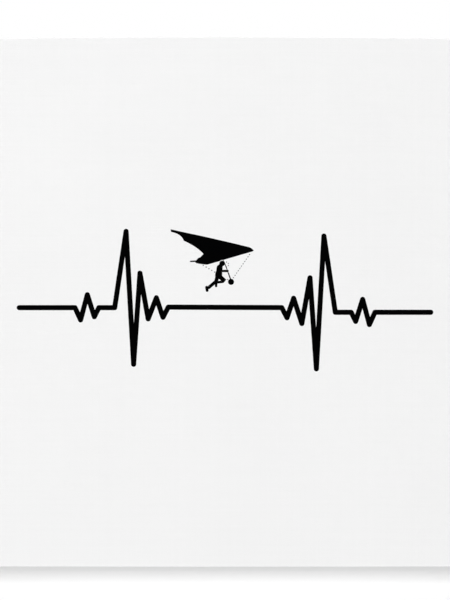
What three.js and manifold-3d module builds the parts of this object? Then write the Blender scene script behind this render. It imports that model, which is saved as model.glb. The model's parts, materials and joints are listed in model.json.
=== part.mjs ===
// A square stretched canvas print: white cotton canvas drawn over a deep pine stretcher frame and folded
// onto its back, with a black line print on the front. It stands on its lower edge, or hangs from two
// D-rings. Millimetres, +Z up, the printed front faces -Y. The origin is the centre of the footprint, on
// the ground. The cloth is one sheet wrapped round four mitred bars. Eight loose keys sit in slots in the
// bars' inner corners and spread the joints. Depths are measured backwards from the cloth's front face.

import * as THREE from "three";
import { mergeVertices } from "three/addons/utils/BufferGeometryUtils.js";
import Module from "manifold-3d";

const wasm = await Module();
wasm.setup();

// Driving dimensions of the panel
const PANEL = 400; // width and height over the cloth
const PANEL_DEPTH = 38; // front face to back face, over the cloth
const CLOTH = 0.5; // thickness of the canvas
const SEAT = 0.3; // gap left between pieces that touch
const TURNOVER = 26; // cloth folded onto the back of the bars
const EDGE_RADIUS = 1.4; // roll of the cloth over the front and back edges

// Stretcher bars
const BAR_WIDTH = 32;
const BAR_LENGTH = PANEL - 2 * (CLOTH + SEAT); // outer length of each mitred bar
const BAR_DEPTH = PANEL_DEPTH - 2 * (CLOTH + SEAT);
const BAR_INNER = BAR_LENGTH / 2 - BAR_WIDTH; // centre of the panel to a bar's inner face
const MITRE_SEAT = 0.22; // half the gap at a mitre, along the bar
const BAR_PROFILE = [
  // [inwards from the outer face, backwards from the bar's front]
  [0, 0.8],
  [0.8, 0],
  [5, 0],
  [7.5, 1.6],
  [BAR_WIDTH, 4.4],
  [BAR_WIDTH, BAR_DEPTH - 1],
  [BAR_WIDTH - 1, BAR_DEPTH],
  [1, BAR_DEPTH],
  [0, BAR_DEPTH - 1],
];

// Corner keys and their slots
const KEY_THICKNESS = 4;
const KEY_OUTLINE = [
  // [out from the bar that the key lies against, along that bar from the corner]
  [0, -11],
  [3.5, -11],
  [12, 19],
  [12, 24],
  [10, 26],
  [0, 26],
];
const SLOT_DEPTH = 12;
const SLOT_WIDTH = 7.2; // the key's width at the slot's mouth, with a gap on both sides
const SLOT_HEIGHT = KEY_THICKNESS + 0.6;
const SLOT_IN_LEVEL_BARS = 15; // depth of the slots' middle in the top and bottom bars
const SLOT_IN_UPRIGHT_BARS = 25; // and in the two side bars

// D-ring hangers on the side bars
const WIRE_RADIUS = 1.2;
const STRAP_THICKNESS = 0.9;
const EYE_BORE = 1.5;
const EYE_RADIUS = EYE_BORE + STRAP_THICKNESS;
const STRAP_WIDTH = 11;
const STRAP_LENGTH = 36; // eye's centre to the strap's rounded foot
const HINGE_HEIGHT = 305; // above the ground
const HANGER_X = BAR_LENGTH / 2 - BAR_WIDTH / 2;
const RING_STRAIGHT = 7; // half the straight side
const RING_CORNER = 1.8;
const RING_BOW = RING_STRAIGHT + RING_CORNER; // radius of the round end
const RING_SIDE = 5; // hinge line down to the round end's centre
const RING_STEPS = 60;
const WIRE_SIDES = 10;

// Rubber bumpers that keep the lower edge off a wall
const BUMPER_RADIUS = 5;
const BUMPER_HEIGHT = 2 * EYE_RADIUS;
const BUMPER_X = 186;
const BUMPER_Z = 14;

// Print on the front, in a thin film of ink
const INK = 0.3;
const INK_STACK = INK + SEAT;

const ROUND_SIDES = 24; // sides of a round post or eye

const TOTAL_DEPTH = INK_STACK + PANEL_DEPTH + SEAT + BUMPER_HEIGHT;
const FRONT_Y = INK_STACK - TOTAL_DEPTH / 2; // y of the cloth's front face
const BACK_Y = FRONT_Y + PANEL_DEPTH; // y of the cloth's back face
const BAR_Y = FRONT_Y + CLOTH + SEAT; // y of the bars' front

const finish = (colour, roughness, metalness = 0) =>
  new THREE.MeshStandardMaterial({ color: colour, roughness, metalness });

const MATERIALS = {
  canvas: finish(0xf4f3ef, 0.9),
  pine: finish(0xd9b885, 0.65),
  key: finish(0xc9a26b, 0.6),
  zinc: finish(0xb9bcc0, 0.35, 1),
  rubber: finish(0x2b2b2d, 0.8),
  ink: finish(0x0b0b0c, 0.55),
};

const part = new THREE.Group();

function add(name, geometry, material, parent = part) {
  const mesh = new THREE.Mesh(geometry, material);
  mesh.name = name;
  parent.add(mesh);
  return mesh;
}

// Closed geometry to a solid, and back
function solid(geometry) {
  const bare = geometry.clone();
  bare.deleteAttribute("normal");
  bare.deleteAttribute("uv");
  const merged = mergeVertices(bare, 1e-4);
  return new wasm.Manifold(
    new wasm.Mesh({
      numProp: 3,
      vertProperties: merged.attributes.position.array,
      triVerts: new Uint32Array(merged.index.array),
    }),
  );
}

function geometryOf(manifold) {
  const mesh = manifold.getMesh();
  const geometry = new THREE.BufferGeometry();
  geometry.setAttribute("position", new THREE.BufferAttribute(mesh.vertProperties, 3));
  geometry.setIndex(new THREE.BufferAttribute(mesh.triVerts, 1));
  const flat = geometry.toNonIndexed();
  flat.computeVertexNormals();
  return flat;
}

function indexed(positions, faces) {
  const geometry = new THREE.BufferGeometry();
  geometry.setAttribute("position", new THREE.Float32BufferAttribute(positions, 3));
  return geometry.setIndex(faces);
}

function box(low, high) {
  const size = high.map((value, axis) => value - low[axis]);
  const middle = high.map((value, axis) => (value + low[axis]) / 2);
  return new THREE.BoxGeometry(...size).translate(...middle);
}

// A square slab with rounded front and back edges. Its front face is at a depth behind the cloth's front.
function roundedSlab(half, depth, radius, front) {
  const flat = half - radius;
  const square = new THREE.Shape();
  square.moveTo(-flat, -flat);
  square.lineTo(flat, -flat);
  square.lineTo(flat, flat);
  square.lineTo(-flat, flat);
  const slab = new THREE.ExtrudeGeometry(square, {
    depth: depth - 2 * radius,
    bevelThickness: radius,
    bevelSize: radius,
    bevelSegments: 4,
  });
  slab.rotateX(Math.PI / 2);
  return solid(slab.translate(0, FRONT_Y + front + depth - radius, PANEL / 2));
}

// Cloth: one sheet wrapped round the bars and turned over onto their back, open in the middle
function canvasGeometry() {
  const half = PANEL / 2;
  const opening = half - TURNOVER;
  const shell = roundedSlab(half, PANEL_DEPTH, EDGE_RADIUS, 0);
  const hollow = roundedSlab(half - CLOTH, PANEL_DEPTH - 2 * CLOTH, EDGE_RADIUS - CLOTH, CLOTH);
  const way = solid(
    box([-opening, BACK_Y - 2 * CLOTH, TURNOVER], [opening, BACK_Y + CLOTH, PANEL - TURNOVER]),
  );
  return geometryOf(shell.subtract(hollow).subtract(way));
}

add("canvas", canvasGeometry(), MATERIALS.canvas);

// A bar lies along X with its outer face down: a profile swept between two 45 degree mitres
function mitredBar() {
  const count = BAR_PROFILE.length;
  const positions = [];
  for (const side of [-1, 1]) {
    for (const [inwards, backwards] of BAR_PROFILE) {
      const end = BAR_LENGTH / 2 - inwards - MITRE_SEAT;
      positions.push(side * end, backwards, inwards);
    }
  }
  const outline = BAR_PROFILE.map(([inwards, backwards]) => new THREE.Vector2(inwards, backwards));
  const cap = THREE.ShapeUtils.triangulateShape(outline, []);
  const faces = [];
  for (let i = 0; i < count; i++) {
    const next = (i + 1) % count;
    faces.push(i, count + next, next, i, count + i, count + next);
  }
  for (const [a, b, c] of cap) {
    faces.push(a, b, c, count + a, count + c, count + b);
  }
  return solid(indexed(positions, faces));
}

// A slot at each inner corner takes the tip of the key that lies against the next bar
function slottedBar(slotDepth) {
  let bar = mitredBar();
  for (const side of [-1, 1]) {
    const near = side * BAR_INNER;
    const far = side * (BAR_INNER - SLOT_WIDTH);
    const cut = box(
      [Math.min(near, far), slotDepth - SLOT_HEIGHT / 2, BAR_WIDTH - SLOT_DEPTH],
      [Math.max(near, far), slotDepth + SLOT_HEIGHT / 2, BAR_WIDTH + 1],
    );
    bar = bar.subtract(solid(cut));
  }
  return geometryOf(bar);
}

const BARS = [
  // [name, turn about Y, depth of its slots]
  ["bar_bottom", 0, SLOT_IN_LEVEL_BARS],
  ["bar_right", -Math.PI / 2, SLOT_IN_UPRIGHT_BARS],
  ["bar_top", Math.PI, SLOT_IN_LEVEL_BARS],
  ["bar_left", Math.PI / 2, SLOT_IN_UPRIGHT_BARS],
];

for (const [name, turn, slotDepth] of BARS) {
  const middle = new THREE.Group();
  middle.position.set(0, BAR_Y, PANEL / 2);
  middle.rotation.y = turn;
  part.add(middle);
  const bar = add(name, slottedBar(slotDepth), MATERIALS.pine, middle);
  bar.position.z = -BAR_LENGTH / 2;
}

// Keys: two in each corner. One lies against the level bar with its tip in the side bar, the other
// against the side bar with its tip in the level bar.
function keyGeometry(sideX, sideZ, againstLevelBar) {
  const outline = KEY_OUTLINE.map(([out, along]) => {
    const away = out + SEAT;
    const x = againstLevelBar ? along : away;
    const z = againstLevelBar ? away : along;
    return new THREE.Vector2(sideX * (BAR_INNER - x), PANEL / 2 + sideZ * (BAR_INNER - z));
  });
  if (THREE.ShapeUtils.isClockWise(outline)) outline.reverse();
  const plate = new THREE.ExtrudeGeometry(new THREE.Shape(outline), {
    depth: KEY_THICKNESS,
    bevelEnabled: false,
  });
  plate.rotateX(Math.PI / 2); // outline into the XZ plane, thickness towards -Y
  const slotDepth = againstLevelBar ? SLOT_IN_UPRIGHT_BARS : SLOT_IN_LEVEL_BARS;
  return plate.translate(0, BAR_Y + slotDepth + KEY_THICKNESS / 2, 0);
}

const CORNERS = [
  // [name, side in X, side in Z]
  ["bottom_left", -1, -1],
  ["bottom_right", 1, -1],
  ["top_right", 1, 1],
  ["top_left", -1, 1],
];

for (const [corner, sideX, sideZ] of CORNERS) {
  add(`key_${corner}_level`, keyGeometry(sideX, sideZ, true), MATERIALS.key);
  add(`key_${corner}_upright`, keyGeometry(sideX, sideZ, false), MATERIALS.key);
}

// Strap: a flat strip screwed to the bar, its top end curled into the eye that holds the ring
function strapGeometry() {
  const strip = new THREE.Shape();
  strip.moveTo(-STRAP_WIDTH / 2, 0);
  strip.lineTo(-STRAP_WIDTH / 2, STRAP_WIDTH / 2 - STRAP_LENGTH);
  strip.absarc(0, STRAP_WIDTH / 2 - STRAP_LENGTH, STRAP_WIDTH / 2, Math.PI, 2 * Math.PI, false);
  strip.lineTo(STRAP_WIDTH / 2, 0);
  const plate = new THREE.ExtrudeGeometry(strip, {
    depth: STRAP_THICKNESS,
    bevelEnabled: false,
    curveSegments: ROUND_SIDES / 2,
  });
  plate.rotateX(Math.PI / 2).translate(0, STRAP_THICKNESS - EYE_RADIUS, 0);

  const round = (radius, length) =>
    new THREE.CylinderGeometry(radius, radius, length, ROUND_SIDES).rotateZ(Math.PI / 2);
  return geometryOf(
    solid(plate)
      .add(solid(round(EYE_RADIUS, STRAP_WIDTH)))
      .subtract(solid(round(EYE_BORE, STRAP_WIDTH + 2))),
  );
}

// Ring: round wire bent to a D, its straight side on the X axis and its bow hanging down
function ringGeometry() {
  const centreline = new THREE.Path();
  centreline.moveTo(-RING_STRAIGHT, 0);
  centreline.lineTo(RING_STRAIGHT, 0);
  centreline.absarc(RING_STRAIGHT, -RING_CORNER, RING_CORNER, Math.PI / 2, 0, true);
  centreline.lineTo(RING_BOW, -RING_SIDE);
  centreline.absarc(0, -RING_SIDE, RING_BOW, 0, -Math.PI, true);
  centreline.lineTo(-RING_BOW, -RING_CORNER);
  centreline.absarc(-RING_STRAIGHT, -RING_CORNER, RING_CORNER, Math.PI, Math.PI / 2, true);

  const positions = [];
  const faces = [];
  for (let i = 0; i < RING_STEPS; i++) {
    const at = centreline.getPointAt(i / RING_STEPS);
    const tangent = centreline.getTangentAt(i / RING_STEPS);
    const outwards = new THREE.Vector2(-tangent.y, tangent.x);
    for (let j = 0; j < WIRE_SIDES; j++) {
      const angle = (2 * Math.PI * j) / WIRE_SIDES;
      const reach = WIRE_RADIUS * Math.cos(angle);
      const rise = WIRE_RADIUS * Math.sin(angle);
      positions.push(at.x + reach * outwards.x, rise, at.y + reach * outwards.y);
      const next = (i + 1) % RING_STEPS;
      const beside = (j + 1) % WIRE_SIDES;
      const a = i * WIRE_SIDES + j;
      const b = i * WIRE_SIDES + beside;
      const c = next * WIRE_SIDES + beside;
      const d = next * WIRE_SIDES + j;
      faces.push(a, c, b, a, d, c);
    }
  }
  return geometryOf(solid(indexed(positions, faces)));
}

const bumper = () =>
  new THREE.CylinderGeometry(BUMPER_RADIUS, BUMPER_RADIUS, BUMPER_HEIGHT, ROUND_SIDES);

for (const [name, side] of [
  ["left", -1],
  ["right", 1],
]) {
  const hinge = new THREE.Group();
  hinge.position.set(side * HANGER_X, BACK_Y + SEAT + EYE_RADIUS, HINGE_HEIGHT);
  part.add(hinge);
  add(`strap_${name}`, strapGeometry(), MATERIALS.zinc, hinge);
  add(`d_ring_${name}`, ringGeometry(), MATERIALS.zinc, hinge);

  const foot = add(`bumper_${name}`, bumper(), MATERIALS.rubber);
  foot.position.set(side * BUMPER_X, BACK_Y + SEAT + BUMPER_HEIGHT / 2, BUMPER_Z);
}

// Print. Its sheet is measured from the middle of the front, right and up.
const STROKE = 3.9; // width of every line of the pulse trace
const PULSE_LEVEL = -3.8; // height of the resting line
const PULSE_DROP = -3.5; // how much lower the right half's outer stretch runs
const PULSE_BEAT = [
  // [distance from the middle, height over the resting line, share of the drop in the right half]
  [155.6, 0, 1],
  [113.4, 0, 1],
  [109.2, -9.3, 1],
  [104.1, 9.8, 1],
  [98.8, -6.9, 1],
  [95.4, 0, 1],
  [83.4, 0, 1],
  [74.8, 57.7, 1],
  [69.1, -42.8, 1],
  [64.3, 26.1, 1],
  [58.1, -8.5, 1],
  [51.9, 7.5, 0.1],
  [46.9, -7.3, 0.1],
  [42.9, 0.4, 0.1],
];
const CAP_STEPS = 5; // steps in half a round end

// Lays a flat shape on the front as a film of ink
function film(shape, curveSegments = CAP_STEPS) {
  const plate = new THREE.ExtrudeGeometry(shape, { depth: INK, bevelEnabled: false, curveSegments });
  plate.rotateX(Math.PI / 2);
  return solid(plate.translate(0, FRONT_Y - SEAT, PANEL / 2));
}

function capsule([x0, z0], [x1, z1], width) {
  const angle = Math.atan2(z1 - z0, x1 - x0);
  const quarter = Math.PI / 2;
  const shape = new THREE.Shape();
  shape.absarc(x1, z1, width / 2, angle - quarter, angle + quarter, false);
  shape.absarc(x0, z0, width / 2, angle + quarter, angle + 3 * quarter, false);
  return shape;
}

function strokes(points, width) {
  let made = null;
  for (let i = 1; i < points.length; i++) {
    const piece = film(capsule(points[i - 1], points[i], width));
    made = made ? made.add(piece) : piece;
  }
  return made;
}

// Pulse trace: one beat, and its mirror image in the right half
const leftBeat = PULSE_BEAT.map(([out, height]) => [-out, PULSE_LEVEL + height]);
const rightBeat = PULSE_BEAT.map(([out, height, share]) => [
  out,
  PULSE_LEVEL + height + share * PULSE_DROP,
]).reverse();
add("print_pulse", geometryOf(strokes([...leftBeat, ...rightBeat], STROKE)), MATERIALS.ink);

// Flyer: a plain pictogram of a delta wing, and a running pilot who holds its control frame
const WING_NOSE = [21.75, 39.2];
const WING_FAR_TIP = [-41.2, 55.45];
const WING_CORNER = [-31.2, 46.85]; // where the sail's two rear scallops meet
const WING_NOTCH = [-16.3, 36.8];
const WING_NEAR_TIP = [-22.6, 30.6];
const WING_STEPS = 10; // steps along each of its curves
const FLYER_LINES = [
  // [from, to, width], and a disc where both ends meet
  [[4.55, 15.7], [4.55, 15.7], 4.6], // wheel
  [[-2.15, 29.7], [-2.15, 29.7], 4.2], // pilot's head
  [[-26, 31.2], [-14, 31.8], 1.1], // keel
  [[-2.2, 35.2], [-0.6, 30.7], 0.35], // control frame, thinner towards the sail
  [[-0.6, 30.7], [2.6, 22.2], 0.65],
  [[2.6, 22.2], [4.5, 16.9], 0.88],
  [[-2.5, 28.9], [-3.8, 27.3], 3.2], // neck
  [[-4.05, 26.4], [-4.5, 22.5], 4.55], // chest
  [[-4.65, 22.3], [-4.9, 20.3], 5.2], // hips
  [[-4, 23.93], [1.95, 23.93], 1.75], // arm
  [[-4.6, 20.2], [-1.2, 17.2], 3.3], // leading thigh
  [[-1.6, 15.8], [-6.3, 15.3], 1.9], // leading shin
  [[-6.6, 15.2], [-6.75, 12.55], 1.8], // leading foot
  [[-5.85, 19.6], [-6.6, 16.6], 2.9], // trailing thigh
  [[-6.7, 16.2], [-12.35, 11.4], 2.5], // trailing shin
  [[-13.95, 11.65], [-13.5, 9.15], 2.1], // trailing foot
];

function wingShape() {
  const shape = new THREE.Shape();
  shape.moveTo(...WING_NOSE);
  shape.quadraticCurveTo(20.6, 41.15, 18.3, 41.97);
  shape.quadraticCurveTo(-8, 48.55, ...WING_FAR_TIP);
  shape.lineTo(-40.8, 53.5);
  shape.quadraticCurveTo(-32.8, 51.9, ...WING_CORNER);
  shape.quadraticCurveTo(-20.45, 41.85, ...WING_NOTCH);
  shape.lineTo(-18.8, 34.25);
  shape.lineTo(-20.2, 33.8);
  shape.lineTo(-21.4, 32.4);
  shape.lineTo(...WING_NEAR_TIP);
  shape.lineTo(-21.8, 29.9);
  shape.quadraticCurveTo(-18.6, 29.1, -13.4, 28.7);
  shape.lineTo(-3.7, 31.5);
  shape.lineTo(-3.3, 32.05); // the sail stops short of the pilot's head
  shape.lineTo(-0.8, 32.4);
  shape.lineTo(16.2, 37.37);
  shape.lineTo(20.4, 38.6);
  return shape;
}

function flyerSolid() {
  let made = film(wingShape(), WING_STEPS);
  for (const [from, to, width] of FLYER_LINES) {
    made = made.add(film(capsule(from, to, width)));
  }
  return made;
}

add("print_flyer", geometryOf(flyerSolid()), MATERIALS.ink);

export default part;
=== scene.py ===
"""Looks of a square stretched canvas print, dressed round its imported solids.

The cloth is one sheet, rolled over the bars, folded at the corners and stapled on the back. Plan sizes are
in millimetres and become metres through MM. The printed front faces -Y, and depths run backwards along +Y.
"""

import json
import math

import bmesh
import bpy
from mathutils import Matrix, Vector


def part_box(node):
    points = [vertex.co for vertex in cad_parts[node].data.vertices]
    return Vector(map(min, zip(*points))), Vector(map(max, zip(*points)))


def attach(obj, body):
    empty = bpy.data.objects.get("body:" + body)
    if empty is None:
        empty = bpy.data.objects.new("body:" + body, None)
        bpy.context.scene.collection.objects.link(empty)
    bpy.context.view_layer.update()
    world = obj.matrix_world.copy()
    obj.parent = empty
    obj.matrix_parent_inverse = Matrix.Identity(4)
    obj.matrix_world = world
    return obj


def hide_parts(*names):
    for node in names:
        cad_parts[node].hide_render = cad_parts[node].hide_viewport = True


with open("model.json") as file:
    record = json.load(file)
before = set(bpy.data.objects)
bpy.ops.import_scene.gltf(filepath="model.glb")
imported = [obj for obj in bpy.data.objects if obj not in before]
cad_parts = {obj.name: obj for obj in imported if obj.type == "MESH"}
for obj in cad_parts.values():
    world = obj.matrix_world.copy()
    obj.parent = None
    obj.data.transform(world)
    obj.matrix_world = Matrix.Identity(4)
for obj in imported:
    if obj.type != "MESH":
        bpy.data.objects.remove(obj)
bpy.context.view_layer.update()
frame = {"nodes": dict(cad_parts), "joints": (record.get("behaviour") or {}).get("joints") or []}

MM = 0.001
TURN = 2 * math.pi
QUARTER = TURN / 4
WHITE = (1.0, 1.0, 1.0, 1.0)

# Places taken from the frame, in metres
CLOTH_LOW, CLOTH_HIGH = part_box("canvas")
HALF = (CLOTH_HIGH.x - CLOTH_LOW.x) / 2
CENTRE_Z = (CLOTH_LOW.z + CLOTH_HIGH.z) / 2
FRONT = CLOTH_LOW.y
BACK = CLOTH_HIGH.y
JOINTS = {joint["child"]: Vector(joint.get("pos_m", (0, 0, 0))) for joint in frame["joints"]}
SIDES = ("left", "right")
BARS = ("bar_bottom", "bar_right", "bar_top", "bar_left")
KEYS = sorted(name for name in frame["nodes"] if name.startswith("key_"))

# Cloth, in metres
CLOTH_THICKNESS = 0.5 * MM
FRONT_ROLL = 1.1 * MM
BACK_ROLL = 1.6 * MM
CORNER_ROUND = 1.6 * MM
TURNOVER = 26 * MM
FOLD_LAYER = 0.75 * MM  # how far the corner folds stand proud of the two side faces
CROWN = (1.35 * MM, -0.3 * MM)  # rise of the upper edge at its middle and at its corners
FOOT = (0.25 * MM, 0.55 * MM)  # rise of the lower edge at its middle and at its corners
STAPLE_SPACING = 44 * MM
THREADS = {"Pitch": 0.72 * MM, "Waver": 0.22}  # of the weave: one thread's width, and how far it strays

# Camera
LENS = 100.0
FRAME_HEIGHT = 453.7 * MM  # of the front's plane that the picture takes in
AIM_Z = 202 * MM

# Studio, in metres and watts
FLOOR_REACH = 6.0  # from the middle to each side
FLOOR_FADE = (0.6, 1.4)  # distances between which the floor turns to plain white
FRONT_GLOW, BACK_GLOW = 1.37, 0.75  # brightness near the horizon, from in front and from behind
TOP_SHARE = 0.12  # of that brightness straight above
LIGHTS = [
    # [name, middle, place it points at, width, height, power]
    ("overhead strip", (0.0, FRONT + 0.5, 6.0), (0.0, FRONT + 0.5, 0.0), 1.75, 1.2, 228.0),
    ("window", (-1.8, -2.6, 1.0), (0.0, 0.0, 0.2), 1.2, 1.2, 19.0),
]


def smooth(low, high, value):
    """0 below low, 1 above high, and an even curve between."""
    share = min(1.0, max(0.0, (value - low) / (high - low)))
    return share * share * (3 - 2 * share)


# Nets of shader and geometry nodes


class Net:
    """Adds nodes to one tree. Each input is a socket to link or a plain value."""

    def __init__(self, tree):
        self.tree = tree

    def feed(self, socket, value):
        if isinstance(value, bpy.types.NodeSocket):
            self.tree.links.new(value, socket)
        elif value is not None:
            socket.default_value = value

    def add(self, kind, inputs=None, **settings):
        node = self.tree.nodes.new(kind)
        for name, value in settings.items():
            setattr(node, name, value)
        for key, value in (inputs or {}).items():
            self.feed(node.inputs[key], value)
        return node

    def out(self, kind, inputs=None, **settings):
        """The first output of a new node."""
        return self.add(kind, inputs, **settings).outputs[0]

    def place(self):
        return self.add("ShaderNodeTexCoord").outputs["Object"]

    def math(self, operation, *values, clamp=False):
        inputs = dict(enumerate(values))
        return self.out("ShaderNodeMath", inputs, operation=operation, use_clamp=clamp)

    def times(self, first, second):
        return self.math("MULTIPLY", first, second)

    def linear(self, value, slope, start):
        return self.math("MULTIPLY_ADD", value, slope, start)

    def vector(self, operation, first, second):
        key = "Scale" if operation == "SCALE" else 1
        return self.out("ShaderNodeVectorMath", {0: first, key: second}, operation=operation)

    def noise(self, vector, scale, detail=2.0, roughness=0.5, output="Fac"):
        inputs = {"Vector": vector, "Scale": scale, "Detail": detail, "Roughness": roughness}
        return self.add("ShaderNodeTexNoise", inputs).outputs[output]

    def remap(self, value, from_low, from_high, to_low=0.0, to_high=1.0):
        inputs = {0: value, 1: from_low, 2: from_high, 3: to_low, 4: to_high}
        return self.out("ShaderNodeMapRange", inputs)

    def blend(self, factor, first, second, mode="MIX"):
        node = self.add("ShaderNodeMix", data_type="RGBA", blend_type=mode)
        for index, value in ((0, factor), (6, first), (7, second)):
            self.feed(node.inputs[index], value)
        return node.outputs[2]

    def bump(self, height, distance, strength=1.0, normal=None):
        inputs = {"Height": height, "Distance": distance, "Strength": strength, "Normal": normal}
        return self.out("ShaderNodeBump", inputs)


def new_group(name, inputs, outputs, tree_kind="ShaderNodeTree"):
    """A group of nodes with named sockets, its net, and its inner inputs and outputs."""
    tree = bpy.data.node_groups.new(name, tree_kind)
    for label, kind, value in inputs:
        socket = tree.interface.new_socket(label, in_out="INPUT", socket_type=kind)
        if value is not None:
            socket.default_value = value
    for label, kind in outputs:
        tree.interface.new_socket(label, in_out="OUTPUT", socket_type=kind)
    net = Net(tree)
    return tree, net, net.add("NodeGroupInput").outputs, net.add("NodeGroupOutput").inputs


def numbers(values):
    """Group inputs that are numbers, each with the value that it has unless it is set."""
    return [(label.replace("_", " "), "NodeSocketFloat", value) for label, value in values.items()]


def pattern_group(name, outputs, **values):
    """A shader group that makes numbers from a place."""
    inputs = [("Vector", "NodeSocketVector", None)] + numbers(values)
    return new_group(name, inputs, [(label, "NodeSocketFloat") for label in outputs])


def weave_group():
    """Plain weave over a flat pattern in metres: the threads' height, the pores between them, and a tone
    for each thread."""
    outputs = ("Height", "Pores", "Tone")
    tree, net, given, result = pattern_group("Plain weave", outputs, Pitch=0.0007, Waver=0.25)
    waver = net.noise(given["Vector"], 45.0, detail=3.0, output="Color")
    centred = net.vector("SUBTRACT", waver, (0.5, 0.5, 0.5))
    threads = net.vector("SCALE", given["Vector"], net.math("DIVIDE", 1.0, given["Pitch"]))
    sway = net.vector("SCALE", centred, net.times(given["Waver"], 8.0))
    split = net.add("ShaderNodeSeparateXYZ", {0: net.vector("ADD", threads, sway)}).outputs
    raised, tones = [], []
    for across, along, phase in (("X", "Y", 0.0), ("Y", "X", math.pi)):
        number = net.math("FLOOR", split[across])
        off = net.math("SUBTRACT", net.math("FRACT", split[across]), 0.5)
        fall = net.math("POWER", net.times(off, 2.1), 2.0)
        round_side = net.math("SUBTRACT", 1.0, fall, clamp=True)
        profile = net.math("SQRT", round_side)
        turn = net.linear(net.math("ADD", split[along], number), math.pi, phase - QUARTER)
        over = net.linear(net.math("COSINE", turn), 0.28, 0.72)
        tone = net.add("ShaderNodeTexWhiteNoise", {"W": number}, noise_dimensions="1D").outputs["Value"]
        plump = net.linear(tone, 0.16, 0.84)
        raised.append(net.times(net.times(profile, over), plump))
        tones.append(tone)
    height = net.math("MAXIMUM", *raised)
    warp_over = net.math("GREATER_THAN", *raised)
    tone = net.out("ShaderNodeMix", {0: warp_over, 2: tones[1], 3: tones[0]})
    net.feed(result["Height"], height)
    net.feed(result["Pores"], net.remap(height, 0.18, 0.5, 1.0, 0.0))
    net.feed(result["Tone"], tone)
    return tree


def slub_group():
    """Long uneven threads that run across the cloth, as a height and a soft shade, from 0 to 1."""
    outputs = ("Height", "Shade")
    tree, net, given, result = pattern_group("Slubs", outputs, Length=0.03, Width=0.001)
    split = net.add("ShaderNodeSeparateXYZ", {0: given["Vector"]}).outputs
    along = net.math("DIVIDE", split["X"], given["Length"])
    across = net.math("DIVIDE", split["Y"], given["Width"])
    drawn = net.out("ShaderNodeCombineXYZ", {0: along, 1: across})
    grain = net.noise(drawn, 1.0, detail=2.0, roughness=0.6)
    net.feed(result["Height"], net.remap(grain, 0.56, 0.74))
    net.feed(result["Shade"], net.remap(grain, 0.25, 0.75))
    return tree


def soil_group():
    """Faint handling marks: soft blotches and finer specks, each as a mask."""
    outputs = ("Blotches", "Specks")
    tree, net, given, result = pattern_group("Handling marks", outputs, Scale=12.0)
    blotches = net.noise(given["Vector"], given["Scale"], detail=4.0, roughness=0.55)
    fine = net.noise(given["Vector"], net.times(given["Scale"], 90.0), detail=1.0)
    net.feed(result["Blotches"], net.remap(blotches, 0.35, 0.7))
    net.feed(result["Specks"], net.remap(fine, 0.7, 0.78))
    return tree


def wood_group():
    """Sawn softwood with its grain along X: growth rings, fine fibres, knots and the pores' height."""
    outputs = ("Rings", "Fibres", "Knots", "Height")
    tree, net, given, result = pattern_group(
        "Sawn wood", outputs, Ring_width=0.0035, Seed=0.0, Knot_size=0.006
    )
    shift = net.out("ShaderNodeCombineXYZ", {0: given["Seed"], 1: 0.0, 2: 0.0})
    place = net.vector("ADD", given["Vector"], shift)
    wobble = net.noise(net.vector("MULTIPLY", place, (7.0, 26.0, 26.0)), 1.0, detail=2.0, output="Color")
    wobble = net.vector("SCALE", net.vector("SUBTRACT", wobble, (0.5, 0.5, 0.5)), 0.012)
    spots = net.vector("MULTIPLY", place, (9.0, 16.0, 16.0))
    cells = net.add("ShaderNodeTexVoronoi", {"Vector": spots, "Scale": 1.0, "Randomness": 1.0})
    away = net.times(cells.outputs["Distance"], 0.06)
    knot = net.remap(net.math("DIVIDE", away, given["Knot size"]), 0.35, 1.0, 1.0, 0.0)
    swirl = net.remap(net.math("DIVIDE", away, given["Knot size"]), 0.0, 3.2, 1.0, 0.0)
    split = net.add("ShaderNodeSeparateXYZ", {0: net.vector("ADD", place, wobble)}).outputs
    pith = net.out("ShaderNodeCombineXYZ", {0: 0.0, 1: split["Y"], 2: split["Z"]})
    from_pith = net.vector("SUBTRACT", pith, (0.0, 0.045, -0.03))
    reach = net.add("ShaderNodeVectorMath", {0: from_pith}, operation="LENGTH").outputs["Value"]
    bent = net.linear(net.math("POWER", swirl, 2.0), 0.006, reach)
    ring = net.math("FRACT", net.math("DIVIDE", bent, given["Ring width"]))
    late = net.times(net.remap(ring, 0.25, 0.9), net.remap(ring, 0.92, 1.0, 1.0, 0.0))
    fibres = net.noise(net.vector("MULTIPLY", place, (22.0, 1300.0, 1300.0)), 1.0, detail=3.0, roughness=0.6)
    net.feed(result["Rings"], late)
    net.feed(result["Fibres"], fibres)
    net.feed(result["Knots"], knot)
    net.feed(result["Height"], net.linear(late, 0.5, fibres))
    return tree


WEAVE = weave_group()
SLUBS = slub_group()
SOIL = soil_group()
WOOD = wood_group()


# Materials


def new_material(name):
    """A node material, its net and its shader."""
    material = bpy.data.materials.new(name)
    material.use_nodes = True
    return material, Net(material.node_tree), material.node_tree.nodes["Principled BSDF"]


def use_group(net, tree, **inputs):
    node = net.add("ShaderNodeGroup", node_tree=tree)
    for label, value in inputs.items():
        net.feed(node.inputs[label.replace("_", " ")], value)
    return node.outputs


def set_finish(net, shader, colour, roughness, normal=None, **plain):
    """Feeds the shader what varies over the surface, and sets the values that are the same all over."""
    for label, value in (("Base Color", colour), ("Roughness", roughness), ("Normal", normal)):
        net.feed(shader.inputs[label], value)
    for label, value in plain.items():
        shader.inputs[label.replace("_", " ")].default_value = value


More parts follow.
